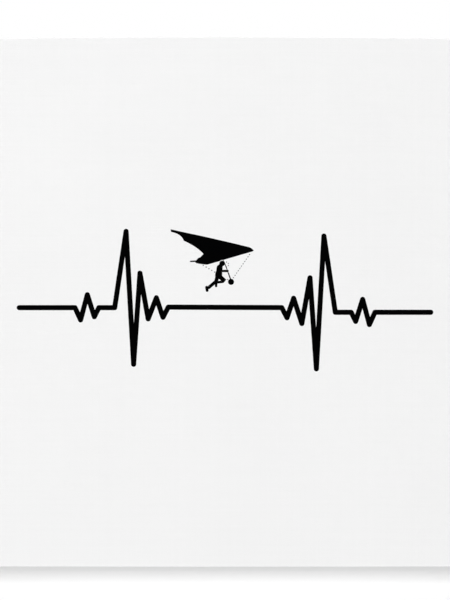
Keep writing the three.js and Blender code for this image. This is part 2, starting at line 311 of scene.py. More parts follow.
def cloth_material(name, thread, pore_shade, streaks, weave_depth, roughness, speck=None):
    """Woven cotton on the cloth's own pattern. thread is its colour, and pore_shade is a darker colour
    painted into the pores between the threads as their shade. streaks is how far one thread differs from the
    next."""
    material, net, shader = new_material(name)
    pattern = net.out("ShaderNodeUVMap", uv_map=CLOTH_MAP)
    weave = use_group(net, WEAVE, Vector=pattern, **THREADS)
    slubs = use_group(net, SLUBS, Vector=pattern, Length=0.035, Width=0.0011)
    soil = use_group(net, SOIL, Vector=pattern, Scale=9.0)
    tone = net.linear(weave["Tone"], streaks, 1.0 - streaks / 2)
    drawn = net.linear(slubs["Shade"], streaks, 1.0 - streaks / 2)
    clouds = net.linear(soil["Blotches"], -0.012, 1.0)
    cloudy = net.times(net.times(tone, drawn), clouds)
    # painted shade: the pores between the threads take the darker pore colour, as if in shadow
    colour = net.blend(net.times(weave["Pores"], 0.6), thread, pore_shade)
    if speck:
        colour = net.blend(net.times(soil["Specks"], 0.5), colour, speck)
    grey = net.out("ShaderNodeCombineColor", {0: cloudy, 1: cloudy, 2: cloudy})
    shaded = net.blend(1.0, colour, grey, "MULTIPLY")
    matt = net.remap(weave["Height"], 0.0, 1.0, roughness + 0.08, roughness)
    height = net.linear(slubs["Height"], 0.35, weave["Height"])
    set_finish(net, shader, shaded, matt, net.bump(height, weave_depth), Specular_IOR_Level=0.25)
    return material


def thread_material():
    """Loose cotton threads, paler where they are frayed."""
    material, net, shader = new_material("Cotton thread")
    place = net.place()
    fluff = net.noise(place, 900.0, detail=2.0)
    colour = net.blend(fluff, (0.5, 0.43, 0.31, 1.0), (0.75, 0.7, 0.6, 1.0))
    matt = net.remap(fluff, 0.3, 0.7, 0.8, 0.95)
    set_finish(net, shader, colour, matt, net.bump(fluff, 0.05 * MM), Specular_IOR_Level=0.2)
    return material


def ink_material():
    """Flat black ink that has sunk into the weave."""
    material, net, shader = new_material("Black ink")
    pattern = net.out("ShaderNodeUVMap", uv_map=CLOTH_MAP)
    weave = use_group(net, WEAVE, Vector=pattern, **THREADS)
    # painted shade: the ink is made darker in the pores between the threads
    colour = net.blend(weave["Pores"], (0.0007, 0.0007, 0.0008, 1.0), (0.0003, 0.0003, 0.0003, 1.0))
    matt = net.remap(weave["Height"], 0.0, 1.0, 0.9, 0.75)
    set_finish(net, shader, colour, matt, net.bump(weave["Height"], 0.05 * MM), Specular_IOR_Level=0.008)
    return material


def wood_material(name, upright, seed, early, late, knot, ring_width=0.0035, knot_size=0.006):
    """Unfinished sawn wood. upright turns its grain from X to Z."""
    material, net, shader = new_material(name)
    place = net.place()
    turn = (0.0, QUARTER, 0.0) if upright else (0.0, 0.0, 0.0)
    along = net.out("ShaderNodeMapping", {"Vector": place, "Rotation": turn})
    wood = use_group(net, WOOD, Vector=along, Ring_width=ring_width, Seed=seed, Knot_size=knot_size)
    soil = use_group(net, SOIL, Vector=place, Scale=14.0)
    grain = net.blend(net.times(wood["Rings"], 0.75), early, late)
    streaked = net.blend(net.remap(wood["Fibres"], 0.35, 0.75, 0.0, 0.35), grain, late)
    knotty = net.blend(wood["Knots"], streaked, knot)
    dull = [0.72 * channel for channel in early[:3]] + [1.0]
    soiled = net.blend(net.times(soil["Blotches"], 0.25), knotty, dull)
    matt = net.remap(wood["Rings"], 0.0, 1.0, 0.72, 0.55)
    set_finish(net, shader, soiled, matt, net.bump(wood["Height"], 0.12 * MM, 0.6), Specular_IOR_Level=0.35)
    return material


def metal_material(name, bright, dull, roughness):
    """Plated steel with drawn scratches and a cloudy bloom."""
    material, net, shader = new_material(name)
    place = net.place()
    scratches = net.noise(net.vector("MULTIPLY", place, (900.0, 900.0, 54.0)), 1.0, detail=3.0)
    bloom = net.noise(place, 260.0, detail=4.0)
    colour = net.blend(net.remap(bloom, 0.35, 0.65), bright, dull)
    worn = net.linear(scratches, 0.22, roughness - 0.08)
    worn = net.linear(bloom, 0.1, worn)
    set_finish(net, shader, colour, worn, net.bump(scratches, 0.01 * MM, 0.5), Metallic=1.0)
    return material


def rubber_material():
    """Dark moulded rubber with a fine matt grain."""
    material, net, shader = new_material("Dark rubber")
    place = net.place()
    grain = net.noise(place, 2600.0, detail=2.0)
    bloom = net.noise(place, 400.0, detail=3.0)
    colour = net.blend(net.remap(bloom, 0.4, 0.7), (0.018, 0.018, 0.02, 1.0), (0.045, 0.044, 0.042, 1.0))
    set_finish(net, shader, colour, net.remap(grain, 0.3, 0.7, 0.55, 0.75), net.bump(grain, 0.03 * MM, 0.6))
    return material


def floor_material():
    """Pale matt floor that throws even light back, and turns to plain white further off."""
    material, net, shader = new_material("Pale floor")
    place = net.place()
    cloud = net.noise(place, 1.3, detail=3.0)
    colour = net.blend(cloud, (0.82, 0.82, 0.82, 1.0), (0.83, 0.83, 0.83, 1.0))
    set_finish(net, shader, colour, net.remap(cloud, 0.3, 0.7, 0.9, 0.95), Specular_IOR_Level=0.0)
    reach = net.add("ShaderNodeVectorMath", {0: place}, operation="LENGTH").outputs["Value"]
    unseen = net.math("SUBTRACT", 1.0, net.add("ShaderNodeLightPath").outputs["Is Camera Ray"])
    plain = net.math("MAXIMUM", net.remap(reach, *FLOOR_FADE), unseen)
    white = net.out("ShaderNodeEmission", {"Color": WHITE, "Strength": 1.0})
    mix = net.out("ShaderNodeMixShader", {0: plain, 1: shader.outputs[0], 2: white})
    net.feed(material.node_tree.nodes["Material Output"].inputs["Surface"], mix)
    return material


CLOTH_MAP = "cloth"
# Each cloth's second colour is painted shade, laid into the pores between its threads.
PRIMED = cloth_material(
    "Primed canvas", (0.891, 0.891, 0.891, 1.0), (0.76, 0.76, 0.755, 1.0), 0.012, 0.12 * MM, 0.72
)
RAW = cloth_material(
    "Raw cotton", (0.7, 0.635, 0.505, 1.0), (0.43, 0.365, 0.26, 1.0), 0.08, 0.16 * MM, 0.82,
    (0.12, 0.07, 0.03, 1.0),
)
RAW_THREAD = thread_material()
INK = ink_material()
PINE = {
    name: wood_material(
        f"Pine of {name}", name in ("bar_left", "bar_right"), 0.7 + 1.9 * index,
        (0.68, 0.47, 0.26, 1.0), (0.47, 0.27, 0.12, 1.0), (0.2, 0.09, 0.035, 1.0),
    )
    for index, name in enumerate(BARS)
}
BEECH = {
    upright: wood_material(
        "Beech upright" if upright else "Beech level", upright, 4.2,
        (0.56, 0.35, 0.19, 1.0), (0.42, 0.23, 0.11, 1.0), (0.3, 0.15, 0.07, 1.0), 0.0012, 0.0001,
    )
    for upright in (False, True)
}
ZINC = metal_material("Zinc plate", (0.72, 0.73, 0.75, 1.0), (0.55, 0.56, 0.58, 1.0), 0.34)
STEEL = metal_material("Bright steel", (0.66, 0.66, 0.67, 1.0), (0.5, 0.5, 0.51, 1.0), 0.28)
RUBBER = rubber_material()


# Meshes


def add_object(name, data):
    made = bpy.data.objects.new(name, data)
    bpy.context.scene.collection.objects.link(made)
    return made


def plain_mesh(name, mesh):
    """The plain mesh of a bmesh, which is freed."""
    data = bpy.data.meshes.new(name)
    mesh.to_mesh(data)
    mesh.free()
    return data


def finish_piece(name, mesh, body, slot, *materials, sharp=35.0, replaces=()):
    """Makes an object of a mesh or a bmesh, shades it, and lets it ride on its body. A grown mesh brings
    its own material."""
    if isinstance(mesh, bmesh.types.BMesh):
        mesh = plain_mesh(name, mesh)
    mesh.shade_smooth()
    mesh.set_sharp_from_angle(angle=math.radians(sharp))
    piece = add_object(name, mesh)
    if materials:
        mesh.materials.clear()
    for material in materials:
        mesh.materials.append(material)
    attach(piece, body)
    if replaces:
        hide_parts(*replaces)
    return piece


def copy_of_node(name):
    """A node's solid with its loose triangles merged and its flat faces made whole."""
    mesh = bmesh.new()
    mesh.from_mesh(frame["nodes"][name].data)
    bmesh.ops.remove_doubles(mesh, verts=mesh.verts, dist=1e-6)
    bmesh.ops.dissolve_limit(mesh, angle_limit=0.01, verts=mesh.verts, edges=mesh.edges)
    return mesh


def soften(mesh, width, angle=25.0):
    """Rounds the edges that turn by more than the angle, in degrees."""
    edges = [
        edge for edge in mesh.edges
        if len(edge.link_faces) == 2 and edge.calc_face_angle(0.0) > math.radians(angle)
    ]
    bmesh.ops.bevel(
        mesh, geom=edges, offset=width, segments=2, profile=0.5, affect="EDGES", clamp_overlap=True
    )


def add_strip(mesh, pattern, rows, flat_rows):
    """Joins rows of points by faces, and lays the same rows of the flat pattern on their corners."""
    layer = mesh.loops.layers.uv[pattern]
    grid = [[mesh.verts.new(point) for point in row] for row in rows]
    for r in range(len(grid) - 1):
        for c in range(len(grid[0]) - 1):
            corners = ((r, c), (r + 1, c), (r + 1, c + 1), (r, c + 1))
            face = mesh.faces.new([grid[i][j] for i, j in corners])
            for loop, (i, j) in zip(face.loops, corners):
                loop[layer].uv = flat_rows[i][j]


def arc_points(centre, radius, start, end, steps):
    """Points of an arc in a plane, from one angle to another."""
    angles = [start + (end - start) * step / steps for step in range(steps + 1)]
    return [(centre[0] + radius * math.cos(a), centre[1] + radius * math.sin(a)) for a in angles]


def circle_points(centre, radius, steps, start=0.0):
    """Points round a circle, without the first one again at its end."""
    return arc_points(centre, radius, start, start + TURN, steps)[:-1]


def skin(places, closed=False, capped=False):
    """A mesh over rings of places, each joined to the next by a band of faces. closed joins the last ring
    to the first, and capped fills both ends."""
    mesh = bmesh.new()
    rings = [[mesh.verts.new(place) for place in ring] for ring in places]
    for index in range(len(rings) if closed else len(rings) - 1):
        ring, after = rings[index], rings[(index + 1) % len(rings)]
        for step in range(len(ring)):
            beside = (step + 1) % len(ring)
            mesh.faces.new((ring[step], ring[beside], after[beside], after[step]))
    if capped:
        mesh.faces.new(rings[0])
        mesh.faces.new(reversed(rings[-1]))
    bmesh.ops.remove_doubles(mesh, verts=mesh.verts, dist=1e-7)
    bmesh.ops.recalc_face_normals(mesh, faces=mesh.faces)
    return mesh


# What repeats, grown by geometry nodes on points or lines


def marked_points(places):
    """Loose points, each with the turn of what grows there: its Z leaves the surface."""
    mesh = bpy.data.meshes.new("marks")
    mesh.from_pydata([place for place, _ in places], [], [])
    turns = mesh.attributes.new("turn", "FLOAT_VECTOR", "POINT")
    for mark, (_, turn) in zip(turns.data, places):
        mark.vector = turn
    return mesh


def growth_group(name, *more, **values):
    """A geometry group that grows on a base mesh and ends as plain mesh with its material."""
    ground = ("Geometry", "NodeSocketGeometry")
    inputs = [(*ground, None), ("Seed", "NodeSocketInt", 1), ("Material", "NodeSocketMaterial", None)]
    return new_group(name, [*inputs, *more, *numbers(values)], [ground], "GeometryNodeTree")


def random_number(net, low, high, seed, shift=0):
    """A number between two bounds that differs from point to point."""
    node = net.add("FunctionNodeRandomValue", data_type="FLOAT")
    for index, value in ((2, low), (3, high), (8, net.math("ADD", seed, float(shift)))):
        net.feed(node.inputs[index], value)
    return node.outputs[1]


def turn_at_marks(net, *spins):
    """The marked turn, then a spin about each of the piece's own axes in its order."""
    marked = net.add("GeometryNodeInputNamedAttribute", {"Name": "turn"}, data_type="FLOAT_VECTOR")
    turn = net.out("FunctionNodeEulerToRotation", {0: marked.outputs[0]})
    for axis, angle in spins:
        spin = net.out("FunctionNodeAxisAngleToRotation", {"Axis": axis, "Angle": angle})
        turn = net.out("FunctionNodeRotateRotation", {0: turn, 1: spin}, rotation_space="LOCAL")
    return turn


def sweep(net, line, section):
    """A closed bar along a line."""
    inputs = {"Curve": line, "Profile Curve": section, "Fill Caps": True}
    return net.out("GeometryNodeCurveToMesh", inputs)


def end_growth(net, given, result, points, shape, turn, **more):
    """Puts the shape on every point, then makes plain mesh of it with its material."""
    inputs = {"Points": points, "Instance": shape, "Rotation": turn, **more}
    placed = net.out("GeometryNodeInstanceOnPoints", inputs)
    real = net.out("GeometryNodeRealizeInstances", {"Geometry": placed})
    painted = net.add("GeometryNodeSetMaterial", {"Geometry": real, "Material": given["Material"]})
    net.feed(result["Geometry"], painted.outputs[0])


def grow(tree, base, **values):
    """The plain mesh that a group grows on a base mesh. values are the group's named inputs."""
    ground = add_object("ground", base)
    modifier = ground.modifiers.new("growth", "NODES")
    modifier.node_group = tree
    for item in tree.interface.items_tree:
        label = item.name.replace(" ", "_")
        if item.in_out == "INPUT" and label in values:
            modifier[item.identifier] = values[label]
    grown = ground.evaluated_get(bpy.context.evaluated_depsgraph_get())
    mesh = bpy.data.meshes.new_from_object(grown)
    ground.modifiers.remove(modifier)
    bpy.data.objects.remove(ground)
    return mesh


def staple_group():
    """Staples, crown along X and legs into the wood."""
    tree, net, given, result = growth_group(
        "Staples", Crown=0.01, Leg=0.002, Wire_width=0.0011, Wire_height=0.0006, Bend=0.0008, Skew=0.15
    )
    line = net.out("GeometryNodeMeshLine", {"Count": 4})
    index = net.out("GeometryNodeInputIndex")
    side = net.math("SUBTRACT", net.math("GREATER_THAN", index, 1.5), 0.5)
    foot = net.math("GREATER_THAN", net.math("ABSOLUTE", net.math("SUBTRACT", index, 1.5)), 1.0)
    across = net.times(side, given["Crown"])
    down = net.times(net.times(foot, given["Leg"]), -1.0)
    corner = net.out("ShaderNodeCombineXYZ", {0: across, 1: 0.0, 2: down})
    bent = net.out("GeometryNodeSetPosition", {"Geometry": line, "Position": corner})
    wire = net.out("GeometryNodeMeshToCurve", {0: bent})
    bend = {"Curve": wire, "Count": 4, "Radius": given["Bend"]}
    wire = net.out("GeometryNodeFilletCurve", bend, mode="POLY")
    gauge = {"Width": given["Wire width"], "Height": given["Wire height"]}
    section = net.out("GeometryNodeCurvePrimitiveQuadrilateral", gauge)
    staple = sweep(net, wire, section)
    skew = random_number(net, net.times(given["Skew"], -1.0), given["Skew"], given["Seed"])
    turn = turn_at_marks(net, ((0.0, 0.0, 1.0), skew))
    end_growth(net, given, result, given["Geometry"], staple, turn)
    return tree


def fray_group():
    """Loose threads at a cut edge, X along each thread."""
    tree, net, given, result = growth_group(
        "Frayed edge", Share=0.4, Length=0.004, Thickness=0.00025, Spread=0.8
    )
    bow = net.vector("SCALE", (0.5, 0.3, 0.0), given["Length"])
    tip = net.vector("SCALE", (1.0, 0.0, 0.05), given["Length"])
    course = {"Resolution": 6, "Start": (0.0, 0.0, 0.0), "Middle": bow, "End": tip}
    line = net.out("GeometryNodeCurveQuadraticBezier", course)
    radius = net.times(given["Thickness"], 0.5)
    section = net.out("GeometryNodeCurvePrimitiveCircle", {"Resolution": 5, "Radius": radius})
    thread = sweep(net, line, section)
    chosen = net.add("FunctionNodeRandomValue", data_type="BOOLEAN")
    net.feed(chosen.inputs["Probability"], given["Share"])
    net.feed(chosen.inputs[8], given["Seed"])
    backwards = net.times(given["Spread"], -1.0)
    spread = random_number(net, backwards, given["Spread"], given["Seed"], 1)
    rise = random_number(net, -0.3, 0.02, given["Seed"], 2)
    turn = turn_at_marks(net, ((0.0, 0.0, 1.0), spread), ((0.0, 1.0, 0.0), rise))
    size = random_number(net, 0.35, 1.4, given["Seed"], 3)
    end_growth(
        net, given, result, given["Geometry"], thread, turn, Selection=chosen.outputs[3], Scale=size
    )
    return tree


def dotted_line_group():
    """Fine dots along each line, flat on the front."""
    tree, net, given, result = growth_group(
        "Dotted lines", Spacing=0.0025, Dot=0.0006, Thickness=0.0001
    )
    line = net.out("GeometryNodeMeshToCurve", {0: given["Geometry"]})
    steps = {"Curve": line, "Length": given["Spacing"]}
    places = net.out("GeometryNodeCurveToPoints", steps, mode="LENGTH")
    radius = net.times(given["Dot"], 0.5)
    disc = {"Vertices": 10, "Radius": radius, "Depth": given["Thickness"]}
    dot = net.out("GeometryNodeMeshCylinder", disc)
    end_growth(net, given, result, places, dot, (QUARTER, 0.0, 0.0))
    return tree


def screw_group():
    """One screw head on every mark, each turned as its driver left it."""
    tree, net, given, result = growth_group("Screws", ("Head", "NodeSocketObject", None))
    head = net.add("GeometryNodeObjectInfo", {"Object": given["Head"]}).outputs["Geometry"]
    turn = turn_at_marks(net, ((0.0, 0.0, 1.0), random_number(net, 0.0, TURN, given["Seed"])))
    end_growth(net, given, result, given["Geometry"], head, turn)
    return tree


# Cloth

# Distances from a corner at which the cloth has points, closest together at the fold's edge
CORNER_OFFSETS = [x * MM for x in (0, 0.4, 0.8, 1, 1.2, 1.26, 1.6, 2.2, 3.2, 4.5, 6, 8)]
CORNER_OFFSETS += [x * MM for x in (*range(10, 35, 3), 38, 43)]
FOLD_EDGE = [
    # [distance from the panel's corner, height as a share of the folded layer]
    (0.8 * MM, 0.0),
    (1 * MM, -0.35),
    (1.2 * MM, -0.35),
    (1.26 * MM, 0.75),
    (1.6 * MM, 1.0),
]
MIDDLE_STEPS = 16
ROLL_STEPS = 7
SIDE_STEPS = 13
FRONT_INSETS = [x * MM for x in (12, 9, 6.5, 4.5)]
FLAP_STEPS = 9
PLEAT_REACH = 36 * MM  # how far the folded corner reaches from the panel's side
SINGLE_LAYER = 0.4  # height where the layer under a fold has ended, as a share of the full height
RIDGE = 0.9 * MM  # half the width of the slanting ridge at that end
SWELL_HEIGHT, SWELL_PLACE, SWELL_WIDTH = 0.12, 1.2 * MM, 1.6 * MM  # of the roll behind that ridge
EDGE_LIFT = (0.12 * MM, 0.45 * MM)  # of the cut edge off the wood: everywhere, and more between staples
EDGE_WAVES = [
    # [height, length, shift] of the wander of the hand-cut edge
    (0.6 * MM, 31 * MM, 0.0),
    (0.3 * MM, 9.3 * MM, 1.3),
]
FRAY_MARGIN = 6 * MM  # left free of loose threads at each corner
FRAY_SPACING = 1.6 * MM
FRAY = {"Share": 0.3, "Length": 2.6 * MM, "Thickness": 0.2 * MM, "Spread": 1.0}


def side_positions(reach):
    """Places along one side from -reach to reach, closer together at the corners."""
    start = [offset - reach for offset in CORNER_OFFSETS]
    inner = reach - CORNER_OFFSETS[-1]
    middle = [inner * (2 * step / MIDDLE_STEPS - 1) for step in range(1, MIDDLE_STEPS)]
    return start + middle + [-place for place in reversed(start)]


def cloth_rings():
    """Rings of the cloth from the front to the cut edge: inset, depth, outward and backward parts of the
    surface's direction, and the flat distance from the panel's centre."""
    roll = arc_points((0.0, 0.0), 1.0, 0.0, QUARTER, ROLL_STEPS)
    rings = [(inset, FRONT, 0.0, -1.0) for inset in FRONT_INSETS]
    rings += [(FRONT_ROLL * (1 - s), FRONT + FRONT_ROLL * (1 - c), s, -c) for c, s in roll]
    side = BACK - BACK_ROLL - FRONT - FRONT_ROLL
    for step in range(1, SIDE_STEPS):
        rings.append((0.0, FRONT + FRONT_ROLL + side * step / SIDE_STEPS, 1.0, 0.0))
    rings += [(BACK_ROLL * (1 - c), BACK - BACK_ROLL * (1 - s), c, s) for c, s in roll]
    for step in range(1, FLAP_STEPS + 1):
        rings.append((BACK_ROLL + (TURNOVER - BACK_ROLL) * step / FLAP_STEPS, BACK, 0.0, 1.0))
    flat = [HALF - rings[0][0]]
    for (inset, depth, *_), (next_inset, next_depth, *_) in zip(rings, rings[1:]):
        flat.append(flat[-1] + math.hypot(next_inset - inset, next_depth - depth))
    return [(*ring, distance) for ring, distance in zip(rings, flat)]


def along_table(table, value):
    """The height that a table of places and heights gives at a place."""
    if value <= table[0][0]:
        return table[0][1]
    for (low, first), (high, second) in zip(table, table[1:]):
        if value <= high:
            return first + (second - first) * (value - low) / (high - low)
    return table[-1][1]


def fold_height(corner_offset, inset, depth, outward):
    """How far the folds of an upright side stand proud, at a distance from the panel's corner. A tucked
    edge runs along the corner, and the layer under it ends in a slanting ridge."""
    edge = along_table(FOLD_EDGE, corner_offset)
    gather = smooth(0.3, 1.0, outward) if depth < (FRONT + BACK) / 2 else 1.0
    behind = depth - FRONT if inset < BACK_ROLL else BACK - FRONT - inset
    ridge = smooth(-RIDGE, RIDGE, behind - corner_offset)
    swell = SWELL_HEIGHT * math.exp(-(((behind - corner_offset - SWELL_PLACE) / SWELL_WIDTH) ** 2))
    reach = 1 - smooth(0.8 * PLEAT_REACH, 1.5 * PLEAT_REACH, corner_offset)
    return FOLD_LAYER * edge * gather * reach * (SINGLE_LAYER + (1 - SINGLE_LAYER) * ridge + swell)


def flap_lift(along, inset):
    """The cut edge lifts off the wood between staples."""
    wave = 0.5 + 0.5 * math.cos(TURN * along / STAPLE_SPACING)
    return smooth(0.45 * TURNOVER, TURNOVER, inset) * (EDGE_LIFT[0] + EDGE_LIFT[1] * wave)


def cut_edge(along, inset):
    """A hand-cut edge wanders a little."""
    wander = sum(height * math.sin(along / length + shift) for height, length, shift in EDGE_WAVES)
    return inset + wander * smooth(0.3 * TURNOVER, TURNOVER, inset)


def settle(point):
    """Rounds the four corners, crowns the upper edge, and keeps the lower edge just off the floor."""
    x, y, z = point
    across, up = abs(x), abs(z - CENTRE_Z)
    core = HALF - CORNER_ROUND
    if across > core and up > core:
        a, b = across - core, up - core
        share = max(a, b) / math.hypot(a, b)
        x = math.copysign(core + a * share, x)
        z = CENTRE_Z + math.copysign(core + b * share, z - CENTRE_Z)
    out = min(1.0, (x / HALF) ** 2)
    crown, foot = (middle + (corner - middle) * out for middle, corner in (CROWN, FOOT))
    z += crown * smooth(HALF / 2, HALF, z - CENTRE_Z) + foot * smooth(HALF / 2, HALF, CENTRE_Z - z)
    return Vector((x, y, z))


def turned(along, outward, side):
    """From a side's own directions to X and Z. Sides run bottom, right, top, left."""
    for _ in range(side):
        along, outward = outward, -along
    return along, -outward


def cloth_point(side, along, ring):
    """One point of the cloth's outer face."""
    inset, depth, outward, backward, _ = ring
    corner_offset = HALF - inset - abs(along)
    proud = fold_height(corner_offset, inset, depth, outward) if side % 2 else 0.0
    place = inset
    if backward == 1.0:
        place = cut_edge(along, inset)
        proud += flap_lift(along, inset) * smooth(4 * MM, 20 * MM, corner_offset)
    x, z = turned(along, HALF - place + proud * outward, side)
    return settle((x, depth + proud * backward, CENTRE_Z + z))


def build_cloth():
    """The whole sheet: four sides from front to cut edge, then the flat front, then its thickness."""
    mesh = bmesh.new()
    mesh.loops.layers.uv.new(CLOTH_MAP)
    for side in range(4):
        rows, flat_rows = [], []
        for ring in RINGS:
            places = side_positions(HALF - ring[0])
            rows.append([cloth_point(side, along, ring) for along in places])
            flat = [turned(along, ring[-1], side) for along in places]
            flat_rows.append([(0.5 + u, 0.5 + v) for u, v in flat])
        add_strip(mesh, CLOTH_MAP, rows, flat_rows)
    places = side_positions(HALF - FRONT_INSETS[0])
    rows = [[settle((x, FRONT, CENTRE_Z + z)) for x in places] for z in reversed(places)]
    flat_rows = [[(0.5 + x, 0.5 + z) for x in places] for z in reversed(places)]
    add_strip(mesh, CLOTH_MAP, rows, flat_rows)
    bmesh.ops.remove_doubles(mesh, verts=mesh.verts, dist=2e-6)
    cloth = finish_piece("cloth", mesh, "panel", "canvas", PRIMED, RAW, sharp=60.0, replaces=["canvas"])
    wall = cloth.modifiers.new("Thickness", "SOLIDIFY")
    wall.thickness = CLOTH_THICKNESS
    wall.offset = -1.0
    wall.use_even_offset = True
    wall.material_offset = 1
    wall.material_offset_rim = 1
    return cloth


def build_frayed_edge():
    """Short threads that stand out of the cut edge, towards the panel's middle."""
    places = []
    for side in range(4):
        reach = HALF - TURNOVER
        along = FRAY_MARGIN - reach
        # each mark's X points from the edge towards the middle, and its Z away from the bar
        turn = (-QUARTER, -QUARTER * (side + 1), 0.0)
        while along < reach - FRAY_MARGIN:
            edge = cloth_point(side, along, RINGS[-1])
            places.append((edge - Vector((0, CLOTH_THICKNESS / 2, 0)), turn))
            along += FRAY_SPACING
    mesh = grow(fray_group(), marked_points(places), Seed=11, Material=RAW_THREAD, **FRAY)
    return finish_piece("cloth_threads", mesh, "panel", "canvas")


RINGS = cloth_rings()
cloth = build_cloth()
threads = build_frayed_edge()

STAPLE_INSET = 17 * MM  # from the panel's side
LEVEL_STAPLES = [(2 * step - 7) * STAPLE_SPACING / 2 for step in range(8)]
UPRIGHT_STAPLES = LEVEL_STAPLES[:5] + [LEVEL_STAPLES[7]]  # the hangers take the place of two
CORNER_STAPLE = 179 * MM  # of the staple across each mitre, from the panel's middle


def build_staples():
    """A row of staples along each bar, and one across each mitre."""
    places = []
    reach = HALF - STAPLE_INSET
    for across in (-reach, reach):
        for along in LEVEL_STAPLES:
            places.append(((along, BACK, CENTRE_Z + across), (-QUARTER, 0.0, 0.0)))
        for along in UPRIGHT_STAPLES:
            places.append(((across, BACK, CENTRE_Z + along), (-QUARTER, QUARTER, 0.0)))
    for x in (-CORNER_STAPLE, CORNER_STAPLE):
        for z in (-CORNER_STAPLE, CORNER_STAPLE):
            lean = math.copysign(QUARTER / 2, x * z)
            places.append(((x, BACK + FOLD_LAYER / 2, CENTRE_Z + z), (-QUARTER, lean, 0.0)))
    mesh = grow(staple_group(), marked_points(places), Seed=5, Material=STEEL)
    finish_piece("staples", mesh, "panel", "zinc", sharp=50.0)


build_staples()


# Print

INK_PROUD = 0.06 * MM
INK_SUNK = 0.1 * MM


def lay_cloth_map(mesh):
    """Gives what is printed on the front the cloth's own flat pattern."""
    layer = mesh.loops.layers.uv.get(CLOTH_MAP) or mesh.loops.layers.uv.new(CLOTH_MAP)
    for face in mesh.faces:
        for loop in face.loops:
            loop[layer].uv = (0.5 + loop.vert.co.x, 0.5 + loop.vert.co.z - CENTRE_Z)


def build_print(node):
    """The node's outline as a thin film that has sunk into the cloth."""
    mesh = copy_of_node(node)
    low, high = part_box(node)
    for vertex in mesh.verts:
        outer = vertex.co.y < (low.y + high.y) / 2
        vertex.co.y = FRONT - INK_PROUD if outer else FRONT + INK_SUNK
    lay_cloth_map(mesh)
    finish_piece(f"{node}_film", mesh, "panel", "ink", INK, replaces=[node])


# Rig wires of the flyer, in millimetres: the dots' spacing and width, then points right and up from the
# front's middle
RIG_WIRES = [
    (2.1, 0.83, [(18.6, 36.4), (6.4, 18.9)]),
    (2.1, 0.83, [(-16.4, 28.15), (-7.9, 23.1)]),
    (1.4, 0.74, [(0.6, 17.5), (2.05, 17.5)]),
    (1.4, 0.74, [(1.1, 30.7), (2.6, 29.6), (2.6, 28.1), (1.1, 27.1)]),
]


def build_rig_wires():
    """Fine dotted lines from the wing to what hangs under it."""
    dots = dotted_line_group()
    mesh = bmesh.new()
    for spacing, width, wire in RIG_WIRES:
        line = bpy.data.meshes.new("wire")
        places = [(x * MM, FRONT - INK_PROUD / 2, CENTRE_Z + z * MM) for x, z in wire]
        line.from_pydata(places, [(step, step + 1) for step in range(len(wire) - 1)], [])
        grown = grow(dots, line, Material=INK, Spacing=spacing * MM, Dot=width * MM, Thickness=INK_PROUD)
        mesh.from_mesh(grown)
    lay_cloth_map(mesh)
    finish_piece("print_rig_wires", mesh, "panel", "ink", INK)


for node in ("print_pulse", "print_flyer"):
    build_print(node)
build_rig_wires()


# Wood

BAR_ROUND = 0.6 * MM
KEY_ROUND = 0.3 * MM


def build_wood(node, material, width):
    """The node's solid with its edges rounded by the width."""
    mesh = copy_of_node(node)
    soften(mesh, width)
    slot = "pine" if node in BARS else "key_wood"
    body = "panel" if node in BARS else node
    finish_piece(f"{node}_wood", mesh, body, slot, material, replaces=[node])


for node in BARS:
    build_wood(node, PINE[node], BAR_ROUND)
for node in KEYS:
    build_wood(node, BEECH[node.endswith("upright")], KEY_ROUND)


# Hangers and bumpers

WIRE_RADIUS = 1.2 * MM
WIRE_SIDES = 20
RING_STRAIGHT = 7 * MM
RING_CORNER = 1.8 * MM
RING_BOW = RING_STRAIGHT + RING_CORNER
RING_SIDE = 5 * MM
STRIP = 0.43 * MM
STRIP_WIDTH = 11 * MM
STRIP_LENGTH = 36 * MM  # of the back layer, from the eye down
FRONT_LENGTH = 0.93 * STRIP_LENGTH
STRIP_GAP = 0.32 * MM  # to the cloth behind it
LAYER_GAP = 0.05 * MM
STRIP_ROUND = 0.1 * MM
EYE_LINE = 1.95 * MM  # radius of the strip's middle round the wire
EYE_ARC = (-2.3 * QUARTER, -4.75 * QUARTER)  # angles from which and to which the strip bends round it
SCREW_DROPS = (20.5 * MM, 30 * MM)
SCREW_RADIUS = 3.2 * MM
SCREW_RISE = 1.6 * MM
SCREW_SEAT = 2 * STRIP + 0.1 * MM  # height of the head's edge over the strap's back
SCREW_SKIRT = 0.1 * MM
SLOT_REACH = 1.5 * MM  # from the screw's middle to each end of its crossed slots
SLOT_HALF = 0.36 * MM  # half a slot's width
SLOT_DEPTH = 1.1 * MM
SLOT_LIP = 0.06 * MM
SLOT_TAPER = 0.82  # size of a slot's floor against its mouth
SLOT_STEPS = 6  # along each side of the slots
DOME_STEPS = 10


def ring_line():
    """The D's centreline in X and Z about the hinge, its straight side along X."""
    line = [(RING_STRAIGHT * (step / 6 - 1), 0.0) for step in range(12)]
    line += arc_points((RING_STRAIGHT, -RING_CORNER), RING_CORNER, QUARTER, 0.0, 8)
    line += arc_points((0.0, -RING_SIDE), RING_BOW, 0.0, -2 * QUARTER, 48)
    line += arc_points((-RING_STRAIGHT, -RING_CORNER), RING_CORNER, 2 * QUARTER, QUARTER, 8)[:-1]
    return line


def build_ring(side):
    """Round wire along the D."""
    hinge = JOINTS[f"ring_{side}"]
    line = ring_line()
    section = circle_points((0.0, 0.0), WIRE_RADIUS, WIRE_SIDES)
    rings = []
    for index, (x, z) in enumerate(line):
        ahead = Vector(line[(index + 1) % len(line)]) - Vector(line[index - 1])
        out = Vector((-ahead.y, ahead.x)).normalized()
        rings.append([hinge + Vector((x + a * out.x, b, z + a * out.y)) for a, b in section])
    mesh = skin(rings, closed=True)
    body = f"ring_{side}"
    finish_piece(f"{body}_wire", mesh, body, "zinc", ZINC, replaces=[f"d_ring_{side}"])


